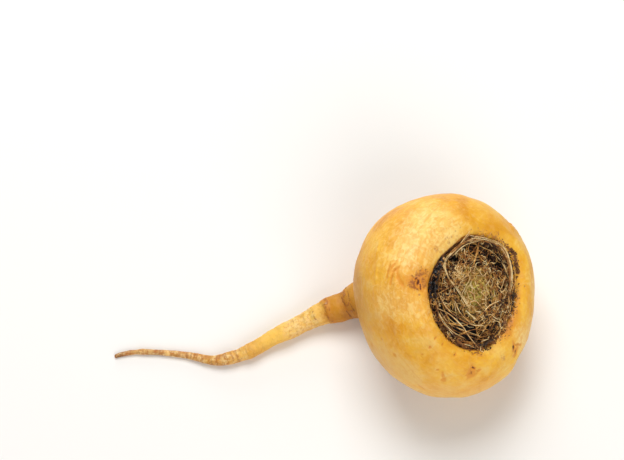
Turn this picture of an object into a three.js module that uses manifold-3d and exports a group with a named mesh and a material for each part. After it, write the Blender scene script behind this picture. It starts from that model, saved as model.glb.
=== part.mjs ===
// A maca root: a squat yellow bulb that tapers into a thin bent taproot, with a ragged hollow crown
// where the leaves were cut away. It lies on its flank, with the crown leaning up and to the side.
// Millimetres, +Z up. The taproot runs along -X.

import * as THREE from "three";
import { mergeVertices } from "three/addons/utils/BufferGeometryUtils.js";
import Module from "manifold-3d";

const wasm = await Module();
wasm.setup();

// Driving dimensions.
const BULB_CENTRE_HEIGHT = 20.2; // of the widest ring's centre over the table
const CROWN_LEAN = 37; // degrees between the bulb's axis and the vertical
const CROWN_HEADING = -18; // degrees, the way the crown leans, seen from above
const RIM_HEIGHT = 12.1; // of the crown's rim plane over the bulb's centre, along its axis
const BULB_BOTTOM = -18.2; // of the bulb, on its axis, from its centre
const HOLLOW_RADIUS = 14.1; // of the crown's hollow at its rim
const HOLLOW_DEPTH = 4.6;
const SHOULDER_RADIUS = 20.5; // beyond which the crown no longer shapes the bulb
const GAP = 0.3; // between pieces that touch
const NEST_RADIUS = 12.1;
const BUD_RADIUS = 3.0;
const HUSK_THICKNESS = 0.6;
const BUD_LEAF_THICKNESS = 0.5;
const BULB_SIDES = 48; // facets round the bulb
const CROWN_SIDES = 32; // facets round the soil and the nest
const TAPROOT_SIDES = 14;
const TAPROOT_STEPS = 64;
const SAME_PLACE = 1e-3; // vertices closer than this are one

// The bulb's outside from the rim down to the underside: distance from the axis, height along it.
const BULB_SIDE = [
  [15.2, 12.5],
  [17.2, 12.6],
  [20.4, 10.9],
  [23.2, 7.2],
  [24.5, 2.6],
  [24.5, -2.2],
  [23.0, -7.2],
  [19.6, -11.6],
  [14.6, -14.9],
  [8.0, -17.2],
];

// The taproot from inside the bulb to its tip: its middle line's place, with the bulb's centre over
// x = y = 0 and the table at z = 0, and its radius there.
const TAPROOT = [
  [-1.5, 1.2, 13.5, 9.5],
  [-8.5, 3.4, 9.0, 8.4],
  [-14.5, 3.8, 6.9, 6.6],
  [-18.6, 3.5, 5.9, 5.6],
  [-21.3, 3.0, 5.2, 4.7],
  [-24.1, 1.9, 4.4, 3.5],
  [-28.9, 0.7, 3.6, 3.1],
  [-34.2, -1.7, 2.8, 2.55],
  [-39.6, -4.4, 2.4, 2.4],
  [-46.1, -8.0, 2.0, 2.0],
  [-48.4, -9.2, 1.8, 1.8],
  [-53.4, -11.0, 1.5, 1.5],
  [-57.5, -11.4, 1.15, 1.18],
  [-61.3, -10.6, 0.9, 0.95],
  [-65.9, -9.7, 0.72, 0.8],
  [-75.3, -9.0, 0.62, 0.7],
  [-79.3, -9.3, 0.5, 0.55],
  [-82.4, -10.1, 0.35, 0.35],
];

// The dried leaf bases that line the hollow's wall: angle round the crown and span in degrees,
// height of the top over the rim plane, and how far the top leans out.
const LEAF_BASES = [
  [172, 46, 0.9, 0.1],
  [128, 28, 0.3, -0.1],
  [98, 22, 0.5, 0],
  [66, 24, 0.6, 0.2],
  [36, 22, 0.9, 0.6],
  [5, 26, 0.3, 0.3],
  [-32, 28, 0.4, 0],
  [-74, 30, 0.7, 0.2],
  [-128, 44, 0.5, -0.1],
];

// The bud's leaves, from the heart outwards: angle, span, distance from the axis, height of the top.
const BUD_LEAVES = [
  [20, 150, 0.75, 1.1],
  [110, 150, 1.6, 0.9],
  [-75, 150, 1.6, 0.8],
  [20, 145, 2.5, 0.6],
  [205, 145, 2.5, 0.5],
];

const skin = material("#f0bd5c", 0.42);
const soil = material("#3a281a", 0.95);
const fibre = material("#b0905c", 0.9);
const bud = material("#9aa048", 0.7);
const husk = material("#2c1d14", 0.6);

function material(color, roughness) {
  return new THREE.MeshStandardMaterial({ color, roughness, metalness: 0 });
}

const degrees = THREE.MathUtils.degToRad;

// Frame of the crown: z along the bulb's axis, x on the side nearest +X, y to the far side.
function crownFrame() {
  const lean = degrees(CROWN_LEAN);
  const heading = degrees(CROWN_HEADING);
  const axis = new THREE.Vector3(
    Math.sin(lean) * Math.cos(heading),
    Math.sin(lean) * Math.sin(heading),
    Math.cos(lean),
  );
  const side = new THREE.Vector3(1, 0, 0).projectOnPlane(axis).normalize();
  const far = new THREE.Vector3().crossVectors(axis, side);
  return new THREE.Matrix4()
    .makeBasis(side, far, axis)
    .setPosition(0, 0, BULB_CENTRE_HEIGHT);
}

// How far the bulb bulges or is pressed in at an angle round its axis.
function lobes(angle) {
  const leaning = 0.014 * Math.cos(angle - degrees(41));
  const oval = 0.025 * Math.cos(2 * (angle + degrees(77)));
  const threeSided = 0.016 * Math.cos(3 * (angle - degrees(37)));
  return 1 + leaning + oval + threeSided;
}

// The same for the crown's hollow, which is less round than the bulb, and for all that lies in it.
function crownOutline(angle) {
  const leaning = 0.025 * Math.cos(angle - degrees(115));
  const oval = 0.084 * Math.cos(2 * (angle - degrees(45)));
  const threeSided = 0.048 * Math.cos(3 * (angle - degrees(43)));
  return 1 + leaning + oval + threeSided;
}

// The bulb is as wide as its crown's outline inside the rim, and changes to its own over the shoulder.
function bulbOutline(angle, radius, height) {
  const shoulder = THREE.MathUtils.smoothstep(radius, HOLLOW_RADIUS, SHOULDER_RADIUS);
  const own = height > 0 ? shoulder : 1;
  return THREE.MathUtils.lerp(crownOutline(angle), lobes(angle), own);
}

// The mesh as a manifold-3d solid, in the frame that the matrix gives.
function solidOf(geometry, matrix = new THREE.Matrix4()) {
  const bare = new THREE.BufferGeometry();
  bare.setAttribute("position", geometry.getAttribute("position").clone());
  bare.setIndex(geometry.index);
  const merged = mergeVertices(bare.applyMatrix4(matrix), SAME_PLACE);
  return new wasm.Manifold(
    new wasm.Mesh({
      numProp: 3,
      vertProperties: merged.getAttribute("position").array,
      triVerts: new Uint32Array(merged.index.array),
    }),
  );
}

function geometryOf(solid) {
  const { vertProperties, triVerts } = solid.getMesh();
  const geometry = new THREE.BufferGeometry();
  geometry.setAttribute("position", new THREE.BufferAttribute(vertProperties, 3));
  geometry.setIndex(new THREE.BufferAttribute(triVerts, 1));
  return geometry;
}

// Moves every vertex to the place that the rule gives for it.
function reshape(geometry, rule) {
  const place = geometry.getAttribute("position");
  const point = new THREE.Vector3();
  for (let i = 0; i < place.count; i++) {
    rule(point.fromBufferAttribute(place, i));
    place.setXYZ(i, point.x, point.y, point.z);
  }
  return geometry;
}

// A closed profile spun round z, from top to bottom, and widened as the rule says at each angle.
function spun(profile, sides, widen) {
  const points = profile.map(([radius, height]) => new THREE.Vector2(radius, height));
  const turned = new THREE.LatheGeometry(points.reverse(), sides);
  turned.rotateX(Math.PI / 2);
  return reshape(turned, (p) => {
    const wide = widen(Math.atan2(p.y, p.x), Math.hypot(p.x, p.y), p.z);
    p.x *= wide;
    p.y *= wide;
  });
}

// The bulb with its crown's hollow, in the crown's frame with the bulb's centre at the origin.
function bulb() {
  const floor = RIM_HEIGHT - HOLLOW_DEPTH;
  const hollow = [
    [0, floor],
    [5, floor],
    [10, floor],
    [HOLLOW_RADIUS - 1.7, floor + 0.7],
    [HOLLOW_RADIUS - 0.5, floor + 2.4],
    [HOLLOW_RADIUS, RIM_HEIGHT - 0.4],
  ];
  const side = new THREE.SplineCurve(BULB_SIDE.map(([r, h]) => new THREE.Vector2(r, h)));
  const outside = side.getSpacedPoints(26).map((p) => [p.x, p.y]);
  return spun([...hollow, ...outside, [0, BULB_BOTTOM]], BULB_SIDES, bulbOutline);
}

// The taproot: a round rod whose middle line follows the route, as thick as the list says.
function taproot() {
  const route = new THREE.CatmullRomCurve3(
    TAPROOT.map(([x, y, z]) => new THREE.Vector3(x, y, z)),
    false,
    "centripetal",
  );
  const frames = route.computeFrenetFrames(TAPROOT_STEPS);
  // Radius at a share of the route, by the same route parameter as the listed points.
  const radiusAt = (share) => {
    const t = route.getUtoTmapping(share) * (TAPROOT.length - 1);
    const from = Math.min(Math.floor(t), TAPROOT.length - 2);
    return THREE.MathUtils.lerp(TAPROOT[from][3], TAPROOT[from + 1][3], t - from);
  };
  const rod = new THREE.CylinderGeometry(1, 1, 1, TAPROOT_SIDES, TAPROOT_STEPS);
  return reshape(rod, (p) => {
    const share = THREE.MathUtils.clamp(0.5 - p.y, 0, 1);
    const i = Math.round(share * TAPROOT_STEPS);
    const middle = route.getPointAt(share);
    const radius = radiusAt(share);
    const out = frames.normals[i].clone().multiplyScalar(p.x * radius);
    out.addScaledVector(frames.binormals[i], p.z * radius);
    p.copy(middle.add(out));
  });
}

// The underside is pressed flat where it would reach below the table.
function flattened(geometry) {
  return reshape(geometry, (p) => {
    p.z = Math.max(p.z, 0);
  });
}

function rootBody() {
  const round = flattened(bulb().applyMatrix4(crownFrame()));
  return geometryOf(solidOf(round).add(solidOf(flattened(taproot()))));
}

// Crumbly soil on the hollow's floor, heaped up under the bud.
function crownSoil() {
  const floor = GAP - HOLLOW_DEPTH;
  return spun(
    [
      [0, -1.5],
      [3, -1.6],
      [6, -2.2],
      [9.5, -3.0],
      [12.4, -2.9],
      [12.1, floor + 0.8],
      [10, floor],
      [0, floor],
    ],
    CROWN_SIDES,
    crownOutline,
  );
}

// The ring of matted fibres round the bud.
function fibreNest() {
  const hole = BUD_RADIUS + GAP;
  return spun(
    [
      [hole, -1.3],
      [hole, -0.1],
      [5.5, 0.3],
      [8.5, 0],
      [10.8, -0.7],
      [NEST_RADIUS, -1.6],
      [NEST_RADIUS, -2.5],
      [9.5, -2.6],
      [6, -1.8],
      [hole, -1.3],
    ],
    CROWN_SIDES,
    crownOutline,
  );
}

// A thin scale that stands on an arc round the crown's axis. Its top edge is ragged.
function standingScale({ angle, span, radius, bottom, top, thickness, lean, taper }) {
  const sheet = new THREE.BoxGeometry(1, 1, 1, 8, 4, 1);
  return reshape(sheet, (p) => {
    const up = p.y + 0.5;
    const across = p.x * (1 - taper * up ** 2);
    const turn = degrees(angle + span * across);
    const ragged = 0.22 * Math.sin(11 * p.x + angle) + 0.12 * Math.sin(23 * p.x + 2 * angle);
    const thinned = thickness * (1 - 0.5 * up);
    const out = (radius + lean * up ** 2 + thinned * p.z) * crownOutline(turn);
    p.set(out * Math.cos(turn), out * Math.sin(turn), bottom + (top + ragged * up - bottom) * up);
  });
}

function leafBase([angle, span, top, lean]) {
  return standingScale({
    angle,
    span,
    radius: HOLLOW_RADIUS - 1.25,
    bottom: -2.3,
    top,
    thickness: HUSK_THICKNESS,
    lean: lean + 0.35, // the hollow's wall leans out by this much
    taper: 0.25,
  });
}

function budLeaf([angle, span, radius, top]) {
  return standingScale({
    angle,
    span,
    radius,
    bottom: -1.1,
    top,
    thickness: BUD_LEAF_THICKNESS,
    lean: -0.2,
    taper: 0.75,
  });
}

function named(name, geometry, finish) {
  const mesh = new THREE.Mesh(geometry, finish);
  mesh.name = name;
  return mesh;
}

const crown = new THREE.Group();
crown.add(named("crown_soil", crownSoil(), soil));
crown.add(named("fibre_nest", fibreNest(), fibre));
BUD_LEAVES.forEach((leaf, i) => crown.add(named(`bud_leaf_${i + 1}`, budLeaf(leaf), bud)));
LEAF_BASES.forEach((base, i) => crown.add(named(`leaf_base_${i + 1}`, leafBase(base), husk)));
crown.applyMatrix4(crownFrame().multiply(new THREE.Matrix4().makeTranslation(0, 0, RIM_HEIGHT)));

const root = new THREE.Group();
root.add(named("root_body", rootBody(), skin), crown);

// The part's origin is the middle of its footprint, at the height of the table.
const footprint = new THREE.Box3().setFromObject(root, true).getCenter(new THREE.Vector3());
root.position.set(-footprint.x, -footprint.y, 0);

const part = new THREE.Group();
part.add(root);

export default part;
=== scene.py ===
"""A fresh maca root that lies on its flank on a pale table: a waxy yellow bulb that tapers into a thin
bent taproot, with the ragged hollow of its crown full of dry brown fibres round a green bud."""

import math
import random

import bpy
import numpy as np
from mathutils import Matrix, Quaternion, Vector, noise


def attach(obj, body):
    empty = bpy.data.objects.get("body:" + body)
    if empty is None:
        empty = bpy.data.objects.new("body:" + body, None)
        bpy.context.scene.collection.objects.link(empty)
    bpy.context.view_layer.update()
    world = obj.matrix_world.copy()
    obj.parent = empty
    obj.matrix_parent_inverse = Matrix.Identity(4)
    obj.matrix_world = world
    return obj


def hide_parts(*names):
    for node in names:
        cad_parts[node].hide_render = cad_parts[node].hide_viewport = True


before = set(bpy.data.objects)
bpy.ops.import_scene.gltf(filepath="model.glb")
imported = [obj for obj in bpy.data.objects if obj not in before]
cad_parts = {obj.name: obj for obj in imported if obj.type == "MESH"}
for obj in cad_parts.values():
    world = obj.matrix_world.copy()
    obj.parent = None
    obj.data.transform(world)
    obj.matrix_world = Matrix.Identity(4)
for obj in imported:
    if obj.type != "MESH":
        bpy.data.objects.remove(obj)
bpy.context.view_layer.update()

# The table and the light. The table is a pale matt board, lit by a large soft lamp up behind the
# root on the left, a weak one in front, and a bright room. The camera looks down steeply.
bpy.ops.object.select_all(action="DESELECT")
bpy.ops.mesh.primitive_plane_add(size=6, location=(0, 0, 0))
table = bpy.context.object
table.name = "table"
board = bpy.data.materials.new("pale_board")
board.use_nodes = True
board_look = {"Base Color": (0.9, 0.89, 0.875, 1), "Roughness": 0.9, "Specular IOR Level": 0.1}
for name, value in board_look.items():
    board.node_tree.nodes["Principled BSDF"].inputs[name].default_value = value
table.data.materials.append(board)


def lamp(name, place, aim, size, power, colour):
    """A square soft lamp at a place, turned to what it lights."""
    turn = (Vector(aim) - Vector(place)).to_track_quat("-Z", "Y").to_euler()
    bpy.ops.object.light_add(type="AREA", location=place, rotation=turn)
    light = bpy.context.object
    light.name = name
    light.data.size = size
    light.data.energy = power
    light.data.color = colour


lamp("key_lamp", (-0.06, 0.34, 0.6), (0.02, 0, 0.02), 0.42, 3.45, (1, 0.99, 0.97))
lamp("window", (-0.12, 0.62, 0.2), (0.02, 0, 0.02), 0.2, 0.8, (1, 0.99, 0.97))
lamp("front_lamp", (0.24, -0.6, 0.52), (0.02, 0, 0.02), 0.6, 3.3, (1, 0.98, 0.95))
room = bpy.data.worlds.new("room")
room.use_nodes = True
room.node_tree.nodes["Background"].inputs["Color"].default_value = (1, 0.99, 0.975, 1)
room.node_tree.nodes["Background"].inputs["Strength"].default_value = 0.28
bpy.context.scene.world = room
bpy.context.scene.view_settings.view_transform = "Standard"

camera_place = (-0.00268, -0.13026, 0.42483)
camera_height = 70  # degrees over the table
bpy.ops.object.camera_add(location=camera_place, rotation=(math.radians(90 - camera_height), 0, 0))
camera = bpy.context.object
camera.name = "camera"
camera.data.lens = 100
camera.data.sensor_width = 36
bpy.context.scene.camera = camera

# The skin of the root, one thin waxy sheet over bulb, crown lip and taproot, yellow with paler
# streaks that run round the bulb. It grew in one piece with the flesh, so it is one closed surface,
# with the scars, pits, ring wrinkles and dried edges that it got in the ground.
bulb_centre = np.array((29.77, 0.066, 20.2))  # millimetres, as is all the shaping below
skin_radius = 24.0  # of the bulb, which makes angles into lengths over its skin
crown_lean = math.radians(37)
crown_heading = math.radians(-18)
crown_axis = np.array((
    math.sin(crown_lean) * math.cos(crown_heading),
    math.sin(crown_lean) * math.sin(crown_heading),
    math.cos(crown_lean),
))
crown_side = np.array((1.0, 0, 0)) - crown_axis * crown_axis[0]
crown_side /= np.linalg.norm(crown_side)
crown_far = np.cross(crown_axis, crown_side)
rim_height = 12.1  # of the rim plane over the bulb's centre
hollow_radius = 14.3  # of the hollow at its rim, as if it were round
bulb_bottom = 18.2  # the underside's depth under the bulb's centre
skin_voxel = 0.38

# The taproot's middle line, from inside the bulb to the tip: its place, counted along the table from
# the bulb's centre and up from the table, and its radius.
taproot = np.array((
    (-1.5, 1.2, 13.5, 9.5), (-8.5, 3.4, 9.0, 8.4), (-14.5, 3.8, 6.9, 6.6), (-18.6, 3.5, 5.9, 5.6),
    (-21.3, 3.0, 5.2, 4.7), (-24.1, 1.9, 4.4, 3.5), (-28.9, 0.7, 3.6, 3.1), (-34.2, -1.7, 2.8, 2.55),
    (-39.6, -4.4, 2.4, 2.4), (-46.1, -8.0, 2.0, 2.0), (-48.4, -9.2, 1.8, 1.8),
    (-53.4, -11.0, 1.5, 1.5), (-57.5, -11.4, 1.15, 1.18), (-61.3, -10.6, 0.9, 0.95),
    (-65.9, -9.7, 0.72, 0.8), (-75.3, -9.0, 0.62, 0.7), (-79.3, -9.3, 0.5, 0.55),
    (-82.4, -10.1, 0.35, 0.35),
)) + (29.77, 0.07, 0, 0)


def pick(piece):
    """Selects one piece alone."""
    bpy.ops.object.select_all(action="DESELECT")
    piece.select_set(True)
    bpy.context.view_layer.objects.active = piece


def new_piece(name, data):
    """A new piece with some geometry, selected alone."""
    piece = bpy.data.objects.new(name, data)
    bpy.context.scene.collection.objects.link(piece)
    pick(piece)
    return piece


def merge(distance):
    """Merges the selected piece's points that are nearer than a distance in metres."""
    bpy.ops.object.mode_set(mode="EDIT")
    bpy.ops.mesh.select_all(action="SELECT")
    bpy.ops.mesh.remove_doubles(threshold=distance)
    bpy.ops.mesh.normals_make_consistent(inside=False)
    bpy.ops.object.mode_set(mode="OBJECT")


def cad_copy(node, name):
    """A new piece with a merged copy of a CAD node's mesh."""
    piece = new_piece(name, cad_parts[node].data.copy())
    piece.data.materials.clear()
    merge(2e-5)
    return piece


def worked(piece, kind, **settings):
    """Adds a modifier with its settings and applies it."""
    modifier = piece.modifiers.new(kind.lower(), kind)
    for setting, value in settings.items():
        setattr(modifier, setting, value)
    pick(piece)
    bpy.ops.object.modifier_apply(modifier=modifier.name)


def places(piece):
    """The places of a piece's vertices, in millimetres."""
    flat = np.empty(len(piece.data.vertices) * 3)
    piece.data.vertices.foreach_get("co", flat)
    return flat.reshape(-1, 3) * 1000


def put(piece, spots):
    """Moves a piece's vertices to places in millimetres, and shades it smooth."""
    piece.data.vertices.foreach_set("co", (spots / 1000).ravel())
    piece.data.update()
    pick(piece)
    bpy.ops.object.shade_smooth()


def outwards(piece):
    """The normals of a piece's vertices."""
    flat = np.empty(len(piece.data.vertices) * 3)
    piece.data.vertices.foreach_get("normal", flat)
    return flat.reshape(-1, 3)


def rough(spots, size, seed=0, octaves=2):
    """Smooth noise between about -1 and 1, with features of a size in the spots' own unit."""
    shift = Vector((17.3 * seed, 5.1 * seed, -9.7 * seed))
    return np.array([
        noise.fractal(Vector(spot) / size + shift, 1.0, 2.1, octaves) for spot in spots
    ])


def ease(value, low, high):
    """0 below low, 1 above high, and smooth between."""
    share = np.clip((value - low) / (high - low), 0, 1)
    return share * share * (3 - 2 * share)


def bell(value):
    """1 at 0, falling smoothly to nearly 0 at 2 and -2."""
    return np.exp(-(value**2))


def off_angle(turned, degrees):
    """The shorter way round to angles in radians from one in degrees, in radians."""
    return np.angle(np.exp(1j * (turned - math.radians(degrees))))


def round_crown(spots):
    """Angle round the crown, distance from its axis and height over the bulb's centre."""
    apart = spots - bulb_centre
    across, away = apart @ crown_side, apart @ crown_far
    return np.arctan2(away, across), np.hypot(across, away), apart @ crown_axis


def under_bulb(radius, height):
    """How far places are under the bulb's underside, a dome that rises away from the axis."""
    return -(height + bulb_bottom - 0.0155 * radius**2)


def wound(turned, size, run):
    """Places on a roll of a size, for noise that closes round it."""
    return np.stack([np.cos(turned) * size, np.sin(turned) * size, run], axis=1)


def mark(piece, name, values, kind="FLOAT"):
    """Keeps a value for each vertex, which the finish reads."""
    attribute = piece.data.attributes.new(name, kind, "POINT")
    attribute.data.foreach_set("vector" if kind == "FLOAT_VECTOR" else "value", values.ravel())


grown = cad_copy("root_body", "grown_form")
worked(grown, "SUBSURF", levels=2, render_levels=2)
skin = new_piece("root_skin", grown.data.copy())
worked(skin, "REMESH", mode="VOXEL", voxel_size=skin_voxel / 1000)

# The taproot's thin end gets smaller faces, and all is drawn back on to the smooth form.
thin_end = 0.002  # metres along the table, where it starts and goes left
pick(skin)
for face in skin.data.polygons:
    face.select = face.center.x < thin_end
for edge in skin.data.edges:
    edge.select = False
for vertex in skin.data.vertices:
    vertex.select = vertex.co.x < thin_end
bpy.ops.object.mode_set(mode="EDIT")
bpy.ops.mesh.subdivide(number_cuts=1)
bpy.ops.object.mode_set(mode="OBJECT")
worked(skin, "SHRINKWRAP", target=grown, wrap_method="NEAREST_SURFACEPOINT")
bpy.data.objects.remove(grown)

lengths = np.concatenate(([0], np.cumsum(np.linalg.norm(np.diff(taproot[:, :3], axis=0), axis=1))))
steps = np.linspace(0, lengths[-1], 500)
line = np.stack([np.interp(steps, lengths, taproot[:, i]) for i in range(4)], axis=1)
way = np.gradient(line[:, :3], axis=0)
way /= np.linalg.norm(way, axis=1)[:, None]


def along_taproot(spots):
    """For each place the nearest step of the taproot's middle line, or the first on the right."""
    nearest = np.zeros(len(spots), int)
    left_part = np.nonzero(spots[:, 0] < 18)[0]
    for part in np.array_split(left_part, 80):
        apart = spots[part, None, :] - line[None, :, :3]
        nearest[part] = np.argmin((apart**2).sum(axis=2), axis=1)
    return nearest


# The edge of the hollow: angle round the crown in degrees, distance from the axis, and how far the lip
# has grown in there over the older wall.
lip_knots = np.array((
    (-180, 14.4, 0.5), (-165, 14.3, 0.6), (-150, 14.4, 0.3), (-135, 14.4, 0.35), (-120, 14.2, 0.5),
    (-105, 14.3, 0.5), (-90, 14.2, 0.5), (-75, 13.7, 0.6), (-60, 13.2, 0.3), (-45, 12.6, 0.1),
    (-30, 12.1, 0.0), (-15, 12.0, 0.1), (0, 11.9, 0.3), (15, 12.5, 0.8), (30, 13.3, 1.4),
    (45, 13.8, 1.6), (60, 13.6, 1.7), (75, 13.5, 1.3), (90, 13.8, 0.5), (105, 13.8, 0.2),
    (120, 12.9, 0.8), (135, 13.0, 1.0), (150, 13.7, 1.0), (165, 14.2, 0.8),
)).T


def edge_at(turned):
    """How far the edge of the hollow is from the crown's axis at an angle in degrees."""
    return np.interp(turned, lip_knots[0], lip_knots[1], period=360)


def grown_in(spots):
    """Places round the hollow, moved in with the lip."""
    angle, radius, height = round_crown(spots)
    beyond = np.maximum(radius - edge_at(np.degrees(angle)) - 0.8, 0)
    share = ease(radius, 8, 11) * bell(beyond / 3.0) * ease(height, 5, 9)
    inward = np.interp(np.degrees(angle), lip_knots[0], lip_knots[2], period=360) * share
    across = np.outer(np.cos(angle) * inward, crown_side) + np.outer(np.sin(angle) * inward, crown_far)
    return spots - across


# The crease where the taproot leaves the bulb is softened.
spots = places(skin)
angle, radius, height = round_crown(spots)
nearest = along_taproot(spots)
beside = np.linalg.norm(spots - line[nearest, :3], axis=1) - line[nearest, 3]
neckness = bell((under_bulb(radius, height) - 0.4) / 2.0) * bell(beside / 2.6)
soften = skin.vertex_groups.new(name="soften")
for index in np.nonzero(neckness > 0.05)[0]:
    soften.add([int(index)], float(neckness[index]), "REPLACE")
worked(skin, "SMOOTH", factor=0.5, iterations=90, vertex_group="soften")
worked(skin, "SMOOTH", factor=0.4, iterations=2)

spots = grown_in(places(skin))
put(skin, spots)
normal = outwards(skin)
angle, radius, height = round_crown(spots)
down = np.arctan2(radius, height)  # angle from the crown's axis, 0 at the crown
taper = ease(under_bulb(radius, height), 0.0, 2.4)  # 1 on the taproot, 0 on the bulb
bulb = 1 - taper

# Where each vertex lies along the taproot and round it.
nearest = along_taproot(spots)
along = steps[nearest]
thick = line[nearest, 3]
off_line = spots - line[nearest, :3]
level = np.cross(way[nearest], (0, 0, 1.0))
level /= np.linalg.norm(level, axis=1)[:, None]
above = np.cross(level, way[nearest])
turn = np.arctan2((off_line * above).sum(axis=1), (off_line * level).sum(axis=1))

# How far out it is from the crown's axis, as if the hollow were round.
reach = radius / edge_at(np.degrees(angle)) * hollow_radius

# The skin's own grain: round the bulb or the taproot, and down from the crown to the tip.
tail_grain = 60.0  # where the taproot's grain starts, well past the end of the bulb's
run = np.where(taper > 0.5, tail_grain + along, down * skin_radius)
ring_angle = np.where(taper > 0.5, turn, angle)
ring_size = np.where(taper > 0.5, 0.5 * thick + 0.4, 10.0 * np.sin(np.clip(down, 0.02, 3.12)) + 0.3)
grain = wound(ring_angle, ring_size, run)

# Where along the taproot it is fuller or slimmer than the plain form.
fuller = np.array((
    (20, 0.0), (23.5, 0.1), (25.2, 0.15), (26.8, 0.42), (28.2, 0.36), (29.6, 0.28), (30.8, -0.02),
    (32.5, 0.08), (34.5, -0.12), (40, -0.1), (41.6, 0.04), (43.5, -0.02), (46.6, -0.24), (48.4, -0.17),
    (50, 0.08), (52, 0.17), (54, 0.08), (78, 0.03), (79.7, 0.12), (81.5, 0.02), (85, 0.13), (87, 0.22),
)).T

# Soft lumps, and on the bulb the faint ripples that run round it.
lift = taper * np.interp(along, *fuller)
lift += 0.22 * rough(spots, 15, 1) * bulb + 0.13 * rough(spots, 6, 2) * bulb - 0.1 * bulb
ripple_zone = ease(rough(spots, 16, 3, 1), -0.15, 0.35)
lift += 0.1 * rough(grain * (0.55, 0.55, 1.0), 2.0, 4) * bulb * (0.35 + 0.65 * ripple_zone)
lift += 0.045 * rough(grain * (1.2, 1.2, 1.0), 0.9, 5) * bulb


def toward(round_at, down_at, spread):
    """1 at a place on the bulb, in degrees round the crown and down from it, and 0 far from it."""
    east, south = off_angle(angle, round_at) * np.sin(down), down - math.radians(down_at)
    return bell(np.hypot(east, south) / math.radians(spread))


# The bulb is not quite round: it swells a little at some places and is flatter at others. Angle
# round the crown and down from it, spread, all in degrees, and how far out in millimetres.
swells = (
    (-165, 105, 30, -0.3), (-138, 121, 16, 0.3), (-98, 103, 12, -0.05), (-51, 72, 12, 0.52),
    (-43, 68, 6, -0.45), (-35, 64, 10, 0.05), (29, 56, 10, 0.42), (35, 57, 5, -0.22), (50, 61, 8, -0.24),
    (58, 63, 16, 0.16), (82, 77, 12, 0.42), (81, 76, 5, -0.34), (108, 95, 14, -0.32),
    (-86, 92, 6, -0.3), (-110, 110, 7, -0.42), (161, 122, 7, -0.34),
)
for round_at, down_at, spread, raised in swells:
    lift += raised * toward(round_at, down_at, spread) * bulb

# Scars, pits, creases and knobs on the bulb: angle round the crown and down from it in degrees,
# half length and half width in millimetres, turn in degrees, depth (raised if it is negative).
blemishes = (
    (175.5, 55.4, 1.3, 0.55, 10, 0.55), (173.0, 56.8, 0.7, 0.4, 60, 0.5),
    (177.6, 54.0, 0.8, 0.34, -20, 0.46), (180.5, 53.8, 0.7, 0.42, -25, 0.5),
    (170, 52.6, 0.8, 0.3, 60, 0.24), (165.5, 54.0, 0.5, 0.3, 20, 0.2), (173, 61.0, 2.2, 1.5, 20, 0.1),
    (169.0, 73.4, 2.2, 0.36, 6, 0.21), (165.8, 70.6, 1.8, 0.32, 24, 0.2),
    (168.5, 69.4, 1.1, 0.34, 52, 0.28), (174.0, 71.0, 2.2, 0.36, 14, 0.21),
    (173.0, 67.0, 2.2, 0.34, -14, 0.22), (177.0, 64.8, 1.6, 0.32, -24, 0.2),
    (170, 82.0, 4.0, 0.35, 8, -0.2), (158, 84.0, 3.0, 0.4, -10, -0.16),
    (-152, 58.0, 2.6, 0.5, 70, -0.2), (-138, 62.0, 3.0, 0.4, 80, -0.16),
    (-137.7, 54.6, 0.6, 0.3, 50, 0.34), (-129.9, 53.4, 0.4, 0.25, 40, 0.3),
    (-134.2, 60.3, 0.4, 0.3, 20, 0.28), (-114.5, 53.4, 0.4, 0.35, 60, 0.4),
    (-133.0, 66.6, 0.3, 0.3, 0, 0.22), (-149.9, 88.3, 0.35, 0.3, 0, 0.24),
    (171.0, 72.4, 1.9, 0.42, 12, -0.26), (168.0, 67.6, 1.6, 0.42, 30, -0.24),
    (175.0, 69.0, 1.9, 0.42, 0, -0.26), (163.5, 69.6, 1.4, 0.38, 30, -0.18),
    (-93, 56.4, 0.9, 0.35, 20, 0.44), (-88, 57.6, 0.8, 0.3, -20, 0.24), (-94, 59.6, 1.6, 1.2, 10, 0.26),
    (-91, 57.8, 0.7, 0.25, 0, -0.26), (-88, 55.0, 1.4, 0.6, 15, -0.18),
    (-112, 67.2, 1.6, 0.36, 38, 0.18), (-109, 69.6, 0.9, 0.7, 30, 0.2),
    (-117.4, 66.6, 0.4, 0.3, 0, 0.26), (-107, 71.0, 1.7, 0.5, 30, -0.12),
    (-48.6, 54.6, 1.3, 0.4, -50, 0.4), (-43.6, 56.0, 1.5, 0.28, 40, 0.3),
    (-48.0, 57.8, 1.2, 0.6, -20, 0.3), (-50, 61.5, 3.0, 0.5, -8, -0.18),
    (-42, 64.0, 2.4, 0.35, 0, 0.12), (51, 63.5, 1.4, 1.1, 0, -0.5), (46, 66.5, 1.8, 0.8, 0, -0.28),
    (140, 74.0, 0.7, 0.5, 20, -0.25), (-139, 84.0, 0.7, 0.5, 0, 0.18), (-111, 86.0, 1.8, 0.4, 10, 0.16),
    (30, 112.0, 2.6, 0.6, 15, 0.3), (80, 125.0, 2.0, 0.7, -20, 0.26), (-30, 120.0, 2.4, 0.5, 30, 0.3),
    (-95, 128.0, 2.2, 0.6, -25, 0.28), (10, 95.0, 1.0, 0.7, 0, 0.3), (95, 98.0, 1.6, 0.5, 40, 0.22),
    (120, 140.0, 2.0, 0.6, 0, 0.25), (-60, 100.0, 1.2, 0.6, 60, 0.22),
)
ragged = np.exp(1.1 * rough(spots, 0.8, 12, 2))
stain = np.zeros(len(spots))
for round_at, down_at, long_half, wide_half, slant, depth in blemishes:
    east = off_angle(angle, round_at) * np.sin(down) * skin_radius
    south = (down - math.radians(down_at)) * skin_radius
    c, s = math.cos(math.radians(slant)), math.sin(math.radians(slant))
    spread = ((east * c + south * s) / long_half) ** 2 + ((south * c - east * s) / wide_half) ** 2
    shape = np.exp(-spread * ragged) * bulb
    lift -= depth * shape
    if depth > 0:
        stain = np.maximum(stain, shape * min(1, depth * 2.5))


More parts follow.
